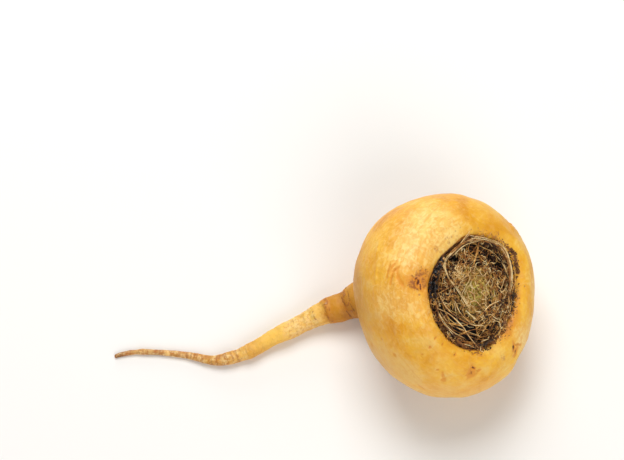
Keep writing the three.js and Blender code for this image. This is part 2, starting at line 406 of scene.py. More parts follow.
def sector(round_at, spread):
    """1 at an angle round the crown in degrees, and 0 far from it."""
    return bell(np.degrees(off_angle(angle, round_at)) / spread)


# The crown's lip is ragged and crumbly in a few places, and clean where the skin folded in.
lip_radius, lip_height = 15.0, 12.2  # of the lip's ridge
lip_far = np.hypot(reach - lip_radius, 0.8 * (height - lip_height))
torn = np.clip(0.4 * sector(42, 17) + 0.22 * sector(-4, 12) + 0.4 * sector(-84, 14)
               + 0.5 * sector(-36, 18) + 0.25 * sector(75, 12) + 0.1, 0, 1)
lip = bell(lip_far / (0.9 + 0.9 * torn))
lift += lip * (0.12 + 0.5 * torn) * rough(spots, 1.3, 6, 3)
inside = ease(14.5 - reach, 0, 0.5) * ease(height, 6.4, 7.2)
lift += inside * 0.25 * rough(spots, 1.3, 7, 3)

# Ring creases, wrinkles, knobs and crusts on the neck and the taproot: where along it, half length
# and depth. The knobs add the side that they stand on, in degrees round it, before their height.
neck_rings = ((22.6, 0.22, 0.1), (24.3, 0.28, 0.16), (29.6, 0.4, 0.07))
neck = np.zeros(len(spots))
warp = 0.45 * rough(wound(turn, 2, along * 0.2), 2.0, 8)
for ring_at, wide_half, depth in neck_rings:
    ring = bell((along + warp - ring_at) / wide_half) * taper
    lift -= depth * ring
    neck = np.maximum(neck, ring * min(1, depth * 3.2))
slim = np.clip(thick / 3.0, 0.22, 1.0)
past_neck = ease(along, 26, 44)
wrinkle = rough(wound(turn, 1.1, along), 1.4, 9, 3)
lift += taper * slim * (0.3 + 0.7 * past_neck) * (0.15 * wrinkle - 0.14 * ease(wrinkle, 0.25, 0.6))
lift += taper * slim * (0.12 + 0.3 * past_neck) * rough(spots, 3.4, 10)
knobs = (
    (29.6, 0.8, 75, 0.24), (33.2, 0.8, 80, 0.24), (35.6, 0.7, 78, 0.2), (42.4, 1.0, 80, 0.24),
    (45.0, 1.5, -60, 0.15), (50.2, 1.4, -75, 0.4), (51.6, 1.2, 85, 0.32), (57.6, 1.0, 80, 0.3),
    (57.9, 1.0, -70, 0.28), (61.8, 0.5, 90, 0.18), (61.9, 0.5, -90, 0.14), (65.8, 0.5, 60, 0.16),
    (70.5, 0.8, -60, 0.1), (79.8, 0.5, 85, 0.17), (80.0, 0.5, -80, 0.12), (74.4, 0.6, 70, 0.1),
)
for knob_at, long_half, side_at, raised in knobs:
    lift += raised * taper * bell((along - knob_at) / long_half) * bell(off_angle(turn, side_at) / 0.9)
crusty = rough(spots, 0.9, 11, 3)
top_side = ease(np.sin(turn - 0.3), 0.1, 0.7)
crusts = ((23.8, 0.6, 0.8), (29.4, 0.6, 0.8), (33.3, 0.8, 0.35))
crust_zone = sum(strength * bell((along - crust_at) / wide_half)
                 for crust_at, wide_half, strength in crusts)
crust = ease(crusty, 0.05, 0.4) * crust_zone * taper * top_side
lift += 0.22 * crust

spots = spots + normal * lift[:, None] + np.outer(0.16 * taper, (0, 1, 0))
spots[:, 2] = np.maximum(spots[:, 2], 0)
put(skin, spots)

# What the finish reads: the grain, where the skin is stained, worn or of another yellow, and where light
# and shade are painted on it.
neck_at = 22  # along the taproot's middle line, where the neck leaves the bulb
rim_near = bell(np.maximum(lip_far - 0.7, 0) / 2.0) * ease(height, 4, 9)
orange_side = np.clip(0.25 + 0.7 * sector(-20, 55) + 0.15 * sector(-120, 30)
                      + 0.75 * sector(178, 20), 0, 1)
mark(skin, "grain", grain, "FLOAT_VECTOR")
mark(skin, "taper", taper)
mark(skin, "tail_run", np.clip((along - neck_at) / (lengths[-1] - neck_at), 0, 1) * taper)
mark(skin, "rim", rim_near * orange_side)
mark(skin, "edge", lip * torn)
# Inside the hollow: the brown wall, with painted shade that grows further down.
mark(skin, "inside", inside * (0.5 + 0.5 * ease(lip_height - height, 0.3, 2.0)))
mark(skin, "stain", stain)
mark(skin, "rings", np.clip(neck + taper * ease(-wrinkle, 0.15, 0.5) * ease(along, 48, 58) * 0.7, 0, 1))
mark(skin, "crust", crust)
mark(skin, "scar", np.maximum(toward(176, 56, 7), 0.8 * toward(168, 54, 6)) * bulb)
# Painted shade: the bulb's lower flank, far from the crown, is painted a deeper orange.
mark(skin, "flank", ease(down, math.radians(104), math.radians(126)) * bulb)
# Painted shade on the taproot's lower side, which faces the front and away from the key lamp.
mark(skin, "low_side", ease(-normal[:, 1], -0.1, 0.9) * ease(0.9 - normal[:, 2], 0, 0.6) * taper)

# Soft areas on the bulb: strength, angle round the crown and down from it, and spread in degrees.
soft_areas = {
    "smudge": ((1, 127, 50, 3.5), (1, 143, 51, 3.5), (0.8, 116, 49, 3), (1, -63, 55, 3.5),
               (0.6, -76, 62, 3), (1.2, 66, 49, 5), (0.8, 82, 48, 4)),
    # The cream areas paint a highlight on the bulb's upper left, and painted light at other places.
    "cream": ((1, 126, 58, 18), (0.7, 158, 66, 16), (0.5, 195, 60, 14), (0.55, -173, 77, 10),
              (0.9, -37, 56, 8), (0.8, -22, 66, 9), (0.6, 8, 60, 8), (0.5, 20, 110, 30),
              (0.5, -60, 125, 30)),
    # The golden areas are a deeper golden yellow; the two low on the left flank are painted shade.
    "golden": ((0.9, -175, 106, 18), (1, 168, 112, 16), (0.4, -139, 60, 10)),
    "tan": ((1, -130, 100, 24), (0.9, -82, 86, 24), (0.5, -18, 68, 14), (0.4, -172, 78, 14),
            (0.7, 80, 130, 30)),
}
for name, areas in soft_areas.items():
    total = sum(strength * toward(*area) for strength, *area in areas)
    mark(skin, name, np.clip(total, 0, 1) * bulb)


class Wire:
    """A socket of a finish, to be added and multiplied as a number is."""

    def __init__(self, finish, socket):
        self.finish, self.socket = finish, socket

    def maths(self, operation, first, second):
        return self.finish.node("ShaderNodeMath", {"operation": operation}, {0: first, 1: second})

    def __add__(self, other):
        return self.maths("ADD", self, other)

    def __radd__(self, other):
        return self.maths("ADD", other, self)

    def __sub__(self, other):
        return self.maths("SUBTRACT", self, other)

    def __rsub__(self, other):
        return self.maths("SUBTRACT", other, self)

    def __mul__(self, other):
        return self.maths("MULTIPLY", self, other)

    def __rmul__(self, other):
        return self.maths("MULTIPLY", other, self)


def paint(red, green, blue):
    """A colour as a painter names it, 0 to 255, as the shader wants it."""
    return tuple((c / 255 / 12.92) if c <= 10 else ((c / 255 + 0.055) / 1.055) ** 2.4
                 for c in (red, green, blue)) + (1.0,)


class Finish:
    """A material made of nodes."""

    def __init__(self, name):
        self.material = bpy.data.materials.new(name)
        self.material.use_nodes = True
        self.tree = self.material.node_tree
        self.tree.nodes.clear()

    def node(self, kind, settings, sockets, output=0):
        """A node with its settings and then its sockets set or joined. Returns one output, if any."""
        made = self.tree.nodes.new(kind)
        for setting, value in settings.items():
            if setting == "stops":
                while len(made.color_ramp.elements) < len(value):
                    made.color_ramp.elements.new(1)
                for element, (position, *shade) in zip(made.color_ramp.elements, value):
                    element.position, element.color = position, paint(*shade)
            else:
                setattr(made, setting, value)
        for socket, value in sockets.items():
            if isinstance(value, Wire):
                self.tree.links.new(value.socket, made.inputs[socket])
            else:
                made.inputs[socket].default_value = value
        return Wire(self, made.outputs[output]) if made.outputs else None

    def kept(self, name, output="Fac"):
        """What the mesh keeps under a name."""
        return self.node("ShaderNodeAttribute", {"attribute_name": name}, {}, output)

    def place(self):
        """The place on the piece, in metres."""
        return self.node("ShaderNodeTexCoord", {}, {}, "Object")

    def clouds(self, where, size, detail=3.0, roughness=0.55, shift=0.0, swirl=0.0):
        """Noise between 0 and 1 with features of a size, in the unit of where."""
        moved = self.node("ShaderNodeVectorMath", {"operation": "ADD"}, {0: where, 1: (shift,) * 3})
        return self.node("ShaderNodeTexNoise", {}, {
            "Vector": moved, "Scale": 1 / size, "Detail": detail, "Roughness": roughness,
            "Distortion": swirl,
        }, "Fac")

    def stretched(self, where, *factors):
        """A place, longer or shorter along each of its axes."""
        return self.node("ShaderNodeVectorMath", {"operation": "MULTIPLY"}, {0: where, 1: factors})

    def step(self, value, low, high):
        """0 below low, 1 above high, and smooth between."""
        return self.node("ShaderNodeMapRange", {"interpolation_type": "SMOOTHSTEP"}, {
            "Value": value, "From Min": low, "From Max": high,
        })

    def blend(self, first, second, share, kind="MIX"):
        """One colour over another."""
        return self.node("ShaderNodeMix", {"data_type": "RGBA", "blend_type": kind}, {
            0: share, 6: first, 7: second,
        }, 2)

    def coats(self, colour, *rows):
        """Coats over a colour. A row is a red, green and blue, and how much of them shows."""
        for *shade, share in rows:
            colour = self.blend(colour, paint(*shade), share)
        return colour

    def ramp(self, value, *stops):
        """The colour that a value stands for. A stop is a value, and its red, green and blue."""
        return self.node("ShaderNodeValToRGB", {"stops": stops}, {"Fac": value}, "Color")

    def bump(self, height, distance, strength=1.0, under=None):
        """A normal that a height in millimetres bends."""
        sockets = {"Height": height, "Distance": distance / 1000, "Strength": strength}
        if under:
            sockets["Normal"] = under
        return self.node("ShaderNodeBump", {}, sockets, "Normal")

    def surface(self, **sockets):
        """Ends the finish with its shader."""
        shader = self.node("ShaderNodeBsdfPrincipled", {}, {
            name.replace("_", " "): value for name, value in sockets.items()
        })
        self.node("ShaderNodeOutputMaterial", {}, {"Surface": shader})


# The skin's finish, a waxy yellow in soft clouds, with paler and golden streaks that run with the grain,
# fine lines and brown pores, a painted highlight on the bulb's upper left and painted shade on its
# lower flank.
wax = Finish("root_skin")
where = wax.place()
strand = wax.kept("grain", "Vector")
cream, tan, rim = wax.kept("cream"), wax.kept("tan"), wax.kept("rim")
broad = wax.clouds(where, 0.012, 2.0)
patch = wax.clouds(where, 0.005, 3.5, 0.6, 0.3, 0.4)
streak = wax.clouds(wax.stretched(strand, 1.7, 1.7, 1.0), 1.1, 2.5, 0.6, 0.0, 1.0)
long_streak = wax.clouds(wax.stretched(strand, 0.4, 0.4, 1.0), 0.6, 2.0, 0.5, 7.0)
mottle = wax.clouds(where, 0.0011, 3.0, 0.6, 0.9)
pale_streaks = wax.step(streak * 0.75 + mottle * 0.25 + cream * 0.05, 0.47, 0.66)
gold_streaks = wax.step(long_streak * 0.6 + streak * -0.3 + mottle * 0.3 + 0.2, 0.46, 0.62)
fine_lines = wax.step(long_streak + tan * 0.1, 0.52, 0.62) * wax.step(1 - patch, 0.42, 0.6)
dots = wax.node("ShaderNodeTexVoronoi", {}, {"Vector": where, "Scale": 380}, "Distance")
pores = (1 - wax.step(dots, 0.06, 0.15)) * wax.step(patch * 0.7 + rim * 0.5, 0.38, 0.58)
colour = wax.ramp(
    broad * 0.55 + patch * 0.45,
    (0.38, 222, 148, 22), (0.46, 236, 170, 38), (0.54, 243, 186, 58), (0.62, 248, 204, 96),
)
colour = wax.coats(
    colour,
    (234, 184, 100, wax.step(tan + patch * 1.9 - 0.95, 0.1, 0.8) * 0.75),
    # Painted shade on the bulb's lower flank, in deeper orange and gold.
    (204, 138, 36, wax.kept("flank") * (0.55 + patch * 0.6)),
    (202, 132, 22, wax.kept("golden") * (0.4 + patch * 0.7)),
    # Painted highlight in cream, with the pale streaks strongest inside it.
    (250, 210, 128, wax.step(cream + patch * 0.6 - 0.3, 0.1, 0.9) * 0.55),
    (255, 228, 152, pale_streaks * (0.12 + 0.52 * cream)),
    (226, 146, 34, gold_streaks * (0.26 + 0.14 * cream)),
    (248, 206, 118, fine_lines * 0.16),
    (156, 74, 44, pores * 0.55),
)

# The taproot goes from orange at the neck to cream, yellow and tan, and its tip is dried brown. It is
# worn past its middle, with light scuffs, brown blotches, lines across it and nicks.
tail_run = wax.kept("tail_run")
taper_here = wax.kept("taper")
run_here = tail_run + patch * 0.09 + mottle * 0.04 - 0.065
creamy = wax.step(run_here, 0.135, 0.19) * (1 - wax.step(run_here, 0.29, 0.33))
worn = wax.step(tail_run, 0.42, 0.56)
lengthwise = wax.clouds(wax.stretched(strand, 1.0, 1.0, 0.35), 0.7, 4.0, 0.7, 3.0)
across = wax.clouds(wax.stretched(strand, 0.3, 0.3, 1.4), 0.8, 4.0, 0.7, 6.0)
grit = wax.clouds(strand, 0.5, 2.0, 0.6, 11.0, 0.6)
scuffs = wax.step(mottle * 0.4 + lengthwise * 0.6, 0.46, 0.57)
blotches = wax.step(across * 0.35 + lengthwise * 0.3 - mottle * 0.35 + 0.35, 0.49, 0.57)
cross_lines = wax.step(across * 0.7 + mottle * 0.3, 0.54, 0.61)
cells = wax.node("ShaderNodeTexVoronoi", {}, {
    "Vector": wax.stretched(strand, 0.6, 0.6, 1.6), "Scale": 0.75,
}, "Distance")
nicks = (1 - wax.step(cells, 0.1, 0.24)) * wax.step(grit, 0.4, 0.5)
tail_colour = wax.ramp(
    run_here,
    (0.0, 202, 142, 38), (0.045, 184, 120, 18), (0.08, 204, 140, 24), (0.115, 196, 128, 22),
    (0.15, 234, 186, 84), (0.19, 234, 188, 88), (0.22, 234, 184, 88), (0.26, 240, 198, 112),
    (0.34, 246, 196, 82), (0.4, 238, 188, 80), (0.46, 224, 166, 62), (0.5, 238, 187, 90),
    (0.57, 206, 144, 56), (0.62, 212, 160, 74), (0.66, 206, 148, 72), (0.7, 222, 170, 92),
    (0.755, 196, 140, 66), (0.79, 238, 192, 114), (0.84, 172, 118, 58), (0.9, 220, 178, 106),
    (0.95, 176, 116, 58), (1.0, 90, 56, 34),
)
tail_colour = wax.coats(
    tail_colour,
    (254, 228, 166, scuffs * (0.04 + 0.41 * creamy + 0.51 * worn)),
    (206, 142, 66, wax.step(grit, 0.5, 0.64) * (0.1 + 0.4 * creamy + 0.35 * worn)),
    (172, 104, 50, blotches * (0.06 + 0.62 * worn)),
    (144, 76, 22, cross_lines * (0.08 + 0.46 * worn)),
    (176, 92, 20, nicks * (0.26 * creamy + 0.6 * worn)),
)
# Painted shade, multiplied in on the taproot's lower side and fading out where it is worn.
low_shade = wax.kept("low_side") * (0.15 - 0.15 * worn)
tail_colour = wax.blend(tail_colour, paint(206, 146, 66), low_shade, "MULTIPLY")
colour = wax.blend(colour, tail_colour, taper_here)

# The rings have brown edges, three fine dark creases go round the neck, and crusts sit on its top.
rings, crust_here = wax.kept("rings"), wax.kept("crust")
colour = wax.coats(
    colour,
    (176, 98, 24, rings * wax.step(mottle + patch, 0.65, 1.0)),
    (104, 50, 12, wax.step(rings + mottle * 0.6, 1.15, 1.4) * 0.85),
)
run_down = wax.node("ShaderNodeSeparateXYZ", {}, {"Vector": strand}, "Z")
sway = wax.clouds(wax.stretched(strand, 1, 1, 0.2), 2.2, 2.0, 0.5, 4.0)
for crease_at, strength in ((24.8, 0.6), (22.9, 0.5), (30.1, 0.3)):
    off_crease = run_down + (sway - 0.5) * 1.6 - (tail_grain + crease_at)
    crease = 1 - wax.step(off_crease * off_crease, 0.0, 0.05)
    broken = crease * wax.step(mottle, 0.41, 0.57) * taper_here
    colour = wax.coats(colour, (92, 50, 16, broken * strength))
colour = wax.coats(
    colour,
    (166, 98, 40, wax.step(crust_here, 0.1, 0.4) * 0.8),
    (220, 186, 142, wax.step(crust_here * 0.7 + mottle * 0.6, 0.72, 0.9) * 0.6),
)

# Round the crown the skin is stained orange and brown, and torn edges have dried dark. The scar and
# the pits are brown too, and darkest in their middle. Down in the hollow the wall is brown, with
# painted shade that darkens it further down.
scar, hollow_wall_and_shade, stain_here = wax.kept("scar"), wax.kept("inside"), wax.kept("stain")
rim_noise = wax.clouds(where, 0.002, 5.0, 0.7, 1.0)
spatter = wax.clouds(where, 0.0009, 3.0, 0.65, 2.0)
edge_here = wax.kept("edge") * 0.7 + rim_noise * 0.8
colour = wax.coats(
    colour,
    (222, 140, 44, wax.step(rim * 0.7 + rim_noise * 0.6, 0.6, 1.05) * 0.7),
    (196, 122, 54, wax.step(edge_here, 0.62, 0.9) * 0.8),
    (98, 54, 28, wax.step(edge_here, 1.04, 1.22) * 0.85),
    (210, 132, 44, wax.step(scar * 0.8 + rim_noise * 0.7, 0.6, 1.15) * 0.85),
    (150, 86, 36, wax.step(scar * 0.6 + spatter * 0.9, 0.77, 1.0) * 0.9),
    (186, 112, 62, wax.step(wax.kept("smudge") * 0.5 + spatter * 0.9, 0.78, 1.02) * 0.6),
    (224, 146, 42, wax.step(stain_here, 0.08, 0.36) * 0.85),
    (176, 98, 34, wax.step(stain_here + spatter * 0.7, 0.82, 1.1) * 0.85),
    (78, 36, 22, wax.step(stain_here + spatter * 0.8, 1.02, 1.24) * 0.9),
    # The hollow's wall: brown, and darker further down as painted shade.
    (176, 106, 42, wax.step(hollow_wall_and_shade + rim_noise * 0.25, 0.15, 0.5) * 0.85),
    (84, 48, 22, wax.step(hollow_wall_and_shade + rim_noise * 0.6, 0.8, 1.2)),
)
shine = 0.34 + broad * 0.14 + patch * 0.12 + taper_here * 0.12 + hollow_wall_and_shade * 0.3
relief = wax.bump(streak * 0.5 + long_streak * 0.25 + mottle * 0.25 - nicks * taper_here * 0.2, 0.34)
relief = wax.bump(wax.clouds(where, 0.0004, 3.0, 0.65, 5.0), 0.02, 0.8, relief)
wax.surface(
    Base_Color=colour, Roughness=shine, Normal=relief,
    Subsurface_Weight=0.08, Subsurface_Radius=(1.0, 0.5, 0.12), Subsurface_Scale=0.001,
    Coat_Weight=0.1, Coat_Roughness=0.3, Specular_IOR_Level=0.32,
)
skin.data.materials.append(wax.material)
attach(skin, "root")
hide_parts("root_body")

# The soil on the hollow's floor, dark damp crumbs washed into the crown round the foot of the bud.
# It is only seen through the gaps between the fibres.
soil = cad_copy("crown_soil", "soil")
worked(soil, "REMESH", mode="VOXEL", voxel_size=0.00035)
spots = places(soil)
angle, radius, height = round_crown(spots)
lift = 0.35 * rough(spots, 1.6, 21, 3) + 0.25 * ease(rough(spots, 0.9, 22), 0.0, 0.3)
put(soil, spots + outwards(soil) * lift[:, None])

earth = Finish("soil")
where = earth.place()
grain_size = earth.clouds(where, 0.0008, 4.0, 0.7)
damp = earth.clouds(where, 0.003, 2.0, 0.5, 2.0)
colour = earth.ramp(grain_size, (0.35, 12, 8, 6), (0.52, 28, 18, 11), (0.68, 66, 44, 26))
colour = earth.coats(colour, (16, 11, 8, earth.step(damp, 0.45, 0.7) * 0.6))
earth.surface(
    Base_Color=colour, Roughness=0.95 - 0.3 * damp, Normal=earth.bump(grain_size, 0.25),
)
soil.data.materials.append(earth.material)
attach(soil, "root")
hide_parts("crown_soil")

# The leaf bases, stubs of the old leaves that were cut or rotted off. They are thin, dark and torn,
# and stand round the wall of the hollow; the one on the left is still wet and shiny.
husk_shine = (0.22, 0.5, 0.55, 0.5, 0.45, 0.6, 0.55, 0.45, 0.4)  # the roughness of each
wet_husk = ((14, 10, 9), (36, 25, 20), (84, 60, 44))
dry_husk = ((32, 20, 11), (74, 47, 27), (148, 102, 60))


def dried(name, dark, mid, light, roughness):
    """Dried leaf stuff, in three tones."""
    made = Finish(name)
    where = made.place()
    streak = made.clouds(where, 0.0012, 4.0, 0.65)
    blotch = made.clouds(where, 0.004, 2.0, 0.5, 3.0)
    colour = made.ramp(streak * 0.6 + blotch * 0.4, (0.38, *dark), (0.52, *mid), (0.68, *light))
    made.surface(
        Base_Color=colour, Roughness=roughness + 0.2 * streak,
        Normal=made.bump(made.clouds(where, 0.0005, 3.0, 0.6, 1.0), 0.16),
    )
    return made.material


for number, roughness in enumerate(husk_shine, 1):
    base = cad_copy(f"leaf_base_{number}", f"husk_{number}")
    worked(base, "SUBSURF", levels=3, render_levels=3, subdivision_type="SIMPLE")
    spots = grown_in(places(base))
    angle, radius, height = round_crown(spots)
    up = ease(height - rim_height, -2.4, 0.9)
    outward = (spots - bulb_centre) - np.outer((spots - bulb_centre) @ crown_axis, crown_axis)
    outward /= np.linalg.norm(outward, axis=1)[:, None]
    curl = 0.35 * rough(spots, 2.6, 30 + number) + 0.12 * rough(spots, 0.9, 40 + number)
    torn = 0.9 * ease(rough(spots * (1, 1, 0.3), 1.3, 50 + number, 3), -0.1, 0.6)
    torn += 1.8 * bell((np.degrees(angle) - 12) / 38)  # torn lowest on the crown's right side
    put(base, spots + outward * (curl * up)[:, None] - np.outer(torn * up, crown_axis))
    pick(base)
    bpy.ops.object.shade_smooth_by_angle(angle=math.radians(50))
    shades = wet_husk if number == 1 else dry_husk
    base.data.materials.append(dried(f"husk_{number}", *shades, roughness))
    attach(base, "root")
    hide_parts(f"leaf_base_{number}")

# The bud in the middle, a few soft pale green young leaves that fold round each other.
leaf_green = Finish("bud")
where = leaf_green.place()
vein = leaf_green.clouds(where, 0.0009, 3.0, 0.6)
colour = leaf_green.ramp(vein, (0.35, 136, 118, 36), (0.5, 176, 156, 62), (0.66, 212, 196, 112))
leaf_green.surface(
    Base_Color=colour, Roughness=0.45 + 0.2 * vein, Normal=leaf_green.bump(vein, 0.1),
    Subsurface_Weight=0.2, Subsurface_Radius=(0.6, 0.8, 0.2), Subsurface_Scale=0.001,
)
for number in range(1, 6):
    leaf = cad_copy(f"bud_leaf_{number}", f"young_leaf_{number}")
    worked(leaf, "SUBSURF", levels=2, render_levels=2)
    spots = places(leaf)
    lift = 0.12 * rough(spots, 1.2, 60 + number)
    put(leaf, spots + outwards(leaf) * lift[:, None])
    leaf.data.materials.append(leaf_green.material)
    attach(leaf, "root")
    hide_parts(f"bud_leaf_{number}")

# The fibre nest, the dry veins left of many old leaves. Long pale strands wrap round the wall and
# cross the hollow, and short brown chopped ones fill it up to the bud, matted but never solid.
random.seed(7)
tone_shades = {
    "pale": ((202, 160, 98), (240, 206, 142), (254, 236, 186)),
    "straw": ((146, 94, 36), (206, 150, 70), (240, 196, 112)),
    "tan": ((98, 56, 18), (160, 100, 38), (210, 150, 68)),
    "brown": ((16, 9, 6), (42, 24, 13), (94, 56, 28)),
    "olive": ((140, 114, 34), (190, 164, 66), (224, 202, 112)),
    "rootlet": ((170, 112, 60), (206, 150, 90), (232, 184, 124)),
}
fibre_finish = {}
for tone, (dark, mid, light) in tone_shades.items():
    thread = Finish(f"fibre_{tone}")
    where = thread.place()
    stained = thread.clouds(where, 0.0016, 3.0, 0.6)
    colour = thread.ramp(stained, (0.36, *dark), (0.5, *mid), (0.64, *light))
    thread.surface(
        Base_Color=colour, Roughness=0.55 + 0.25 * stained,
        Normal=thread.bump(thread.clouds(where, 0.0003, 2.0, 0.6, 1.0), 0.03),
    )
    fibre_finish[tone] = thread.material


def level_way(turned):
    """The way straight out from the crown's axis, at an angle in radians."""
    return crown_side * math.cos(turned) + crown_far * math.sin(turned)


def crown_spot(angle, radius, height):
    """A place in the crown: angle in degrees, millimetres from the axis and over the rim plane."""
    return bulb_centre + level_way(math.radians(angle)) * radius + crown_axis * (rim_height + height)


def nest_top(share):
    """Height of the nest over the rim plane, from the middle (0) to the edge of the hollow (1)."""
    return float(np.interp(share, (0, 0.22, 0.4, 0.62, 0.78, 0.9, 1.0),
                           (0.0, 0.2, 0.4, 0.1, -0.6, -0.7, 0.0)))


def nest_spot(angle, share, rise):
    """A place in the nest: angle in degrees, share of the way to the edge, height over its top."""
    return crown_spot(angle, share * edge_at(angle), nest_top(share) + rise)


def laid(name, strands):
    """One piece of thin stems. A strand is its tone, its thickness and its places in millimetres."""
    drawn = bpy.data.curves.new(name, "CURVE")
    drawn.dimensions = "3D"
    drawn.bevel_depth = 0.0005
    drawn.bevel_resolution = 0
    drawn.use_fill_caps = True
    for finish in fibre_finish.values():
        drawn.materials.append(finish)
    for tone, thickness, path in strands:
        spline = drawn.splines.new("POLY")
        spline.points.add(len(path) - 1)
        spline.material_index = list(fibre_finish).index(tone)
        spline.use_smooth = True
        for step, (point, spot) in enumerate(zip(spline.points, path)):
            share = step / (len(path) - 1)
            point.co = (*(spot / 1000), 1)
            point.radius = thickness * (1 - 0.55 * abs(2 * share - 1) ** 3)
    new_piece(name, drawn)
    bpy.ops.object.convert(target="MESH")
    piece = bpy.context.object
    merge(1e-6)
    bpy.ops.object.shade_smooth()
    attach(piece, "root")
    return piece


def threaded(knots, steps):
    """A smooth path through knots of angle, distance and height."""
    spots = np.array([crown_spot(*knot) for knot in knots])
    ends = np.vstack((2 * spots[0] - spots[1], spots, 2 * spots[-1] - spots[-2]))
    path = []
    for share in np.linspace(0, len(knots) - 1.0001, steps):
        i, t = int(share), share % 1
        a, b, c, d = ends[i : i + 4]
        path.append(0.5 * (2 * b + (c - a) * t + (2 * a - 5 * b + 4 * c - d) * t**2
                           + (3 * b - a - 3 * c + d) * t**3))
    return path


# Long strands laid one by one: the tones of the stems that lie side by side in one, their thickness,
# their height over the nest, and knots of angle and distance.
pale_pair, straw_pair = ("pale", "tan"), ("straw", "tan")
long_ones = (
    (("pale", "pale", "pale"), 0.16, 0.8,
     ((100, 14.5), (120, 12), (145, 12), (160, 10), (175, 7.5), (210, 5.5), (235, 5.5))),
    (("pale", "pale", "tan"), 0.2, 1.2, ((90, 13), (115, 12), (140, 12))),
    (("pale", "pale", "tan"), 0.2, 1.3, ((85, 12.5), (110, 12), (135, 11.5))),
    (straw_pair, 0.22, 1.0, ((95, 12.5), (120, 12), (140, 12))),
    (("pale", "pale", "tan"), 0.24, 1.2, ((100, 13), (75, 13), (55, 13.5), (35, 12.5), (15, 11), (0, 10))),
    (pale_pair, 0.28, 1.0, ((85, 12.5), (60, 13), (40, 12.5), (20, 11), (0, 10), (-20, 10.5))),
    (straw_pair, 0.22, 1.1, ((30, 13), (15, 12), (0, 10.5))),
    (straw_pair, 0.24, 0.6, ((85, 12), (90, 9.5), (100, 7), (120, 5))),
    (straw_pair, 0.2, 0.5, ((95, 8), (105, 10), (98, 12))),
    (("tan", "tan"), 0.24, 0.5, ((105, 11), (115, 9), (120, 7.5), (135, 8.5))),
    (pale_pair, 0.26, 0.6, ((185, 12), (205, 10.5), (230, 9), (255, 8.5), (280, 8.5))),
    (pale_pair, 0.22, 0.7, ((190, 13.5), (210, 13), (230, 12.5), (250, 12))),
    (pale_pair, 0.22, 0.8, ((185, 13.5), (210, 13.5), (235, 13))),
    (pale_pair, 0.26, 0.7, ((200, 13.5), (215, 10.5), (240, 10), (255, 11), (270, 13.5))),
    (pale_pair, 0.22, 0.5, ((200, 8), (225, 8), (255, 8.5))),
    (("pale", "pale", "pale"), 0.18, 0.6, ((230, 6.5), (245, 6.5), (265, 7))),
    (pale_pair, 0.26, 0.7, ((255, 7.5), (285, 5), (315, 4.5), (345, 7))),
    (straw_pair, 0.22, 0.6, ((215, 6), (235, 7.5), (255, 8))),
    (pale_pair, 0.24, 0.7, ((220, 5.5), (235, 3), (265, 3), (285, 5))),
    (straw_pair, 0.22, 0.3, ((265, 8.5), (275, 11), (300, 11.5))),
    (straw_pair, 0.22, 0.5, ((265, 9), (290, 7.5), (320, 7.5))),
    (straw_pair, 0.24, 0.3, ((240, 13.5), (255, 12.5), (270, 12.5))),
    (pale_pair, 0.22, 0.3, ((250, 13.5), (260, 13), (270, 13.5))),
    (straw_pair, 0.26, 0.7, ((185, 12), (175, 8.5), (155, 4.5))),
    (("pale", "pale"), 0.18, 0.5, ((115, 2.5), (75, 0.5), (-30, 3))),
    (pale_pair, 0.22, 0.5, ((180, 3), (210, 1.5), (245, 2.5))),
    (straw_pair, 0.22, 0.5, ((25, 5), (0, 6))),
    (pale_pair, 0.17, 0.6, ((205, 12.5), (225, 11.5), (250, 10.5), (275, 11))),
    (straw_pair, 0.17, 0.5, ((215, 13), (240, 9.5), (260, 7))),
    (straw_pair, 0.2, 0.5, ((240, 12.5), (260, 9.5), (290, 9.5))),
)
strands = []
for bunch, thickness, rise, knots in long_ones:
    for tone in bunch:
        beside = random.gauss(0, 0.075 * len(bunch))
        raised = [
            (turned + random.gauss(0, 0.5), distance + beside + random.gauss(0, 0.1),
             nest_top(distance / edge_at(turned)) + rise + random.gauss(0, 0.08))
            for turned, distance in knots
        ]
        strands.append((tone, thickness * random.uniform(0.75, 1.05), threaded(raised, 9 * len(knots))))


def wrapped(start, sweep, share, drift, rise, wobble):
    """A path that winds round the hollow."""
    phase = random.uniform(0, 6.3)
    path = []
    for part in np.linspace(0, 1, max(6, int(abs(sweep) / 9))):
        here = min(share + drift * part + wobble * math.sin(phase + 5 * part), 0.985)
        path.append(nest_spot(start + sweep * part, here, rise + 0.25 * math.sin(2 * phase + 7 * part)))
    return path


# Random strands besides: 44 wind round the hollow, and 12 cross it from the lower left.
for _ in range(44):
    tone = random.choices(("pale", "straw", "tan", "brown"), (2, 4, 4, 4))[0]
    share = random.choice((0.97, 0.95, 0.92, 0.9, 0.84, 0.76, 0.66, 0.55))
    path = wrapped(random.uniform(0, 360), random.choice((-1, 1)) * random.uniform(25, 100), share,
                   random.uniform(-0.2, 0.08), random.uniform(-0.4, 0.4), random.uniform(0.01, 0.06))
    strands.append((tone, random.uniform(0.13, 0.22), path))
for _ in range(12):
    near, across = random.uniform(175, 330), random.uniform(35, 110)
    first, middle, last = random.uniform(0.65, 0.97), random.uniform(0.48, 0.8), random.uniform(0.5, 0.97)
    knots = ((near, first, random.uniform(-0.4, 0.2)),
             (near + across * random.uniform(0.35, 0.6), middle, 0.3),
             (near + across, last, random.uniform(-0.5, 0.1)))
    knots = [(turned, share * edge_at(turned), nest_top(share) + rise)
             for turned, share, rise in knots]
    strands.append((random.choice(("pale", "straw", "straw", "tan")), random.uniform(0.13, 0.22),
                    threaded(knots, 14)))
long_fibres = laid("long_fibres", strands)
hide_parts("fibre_nest")


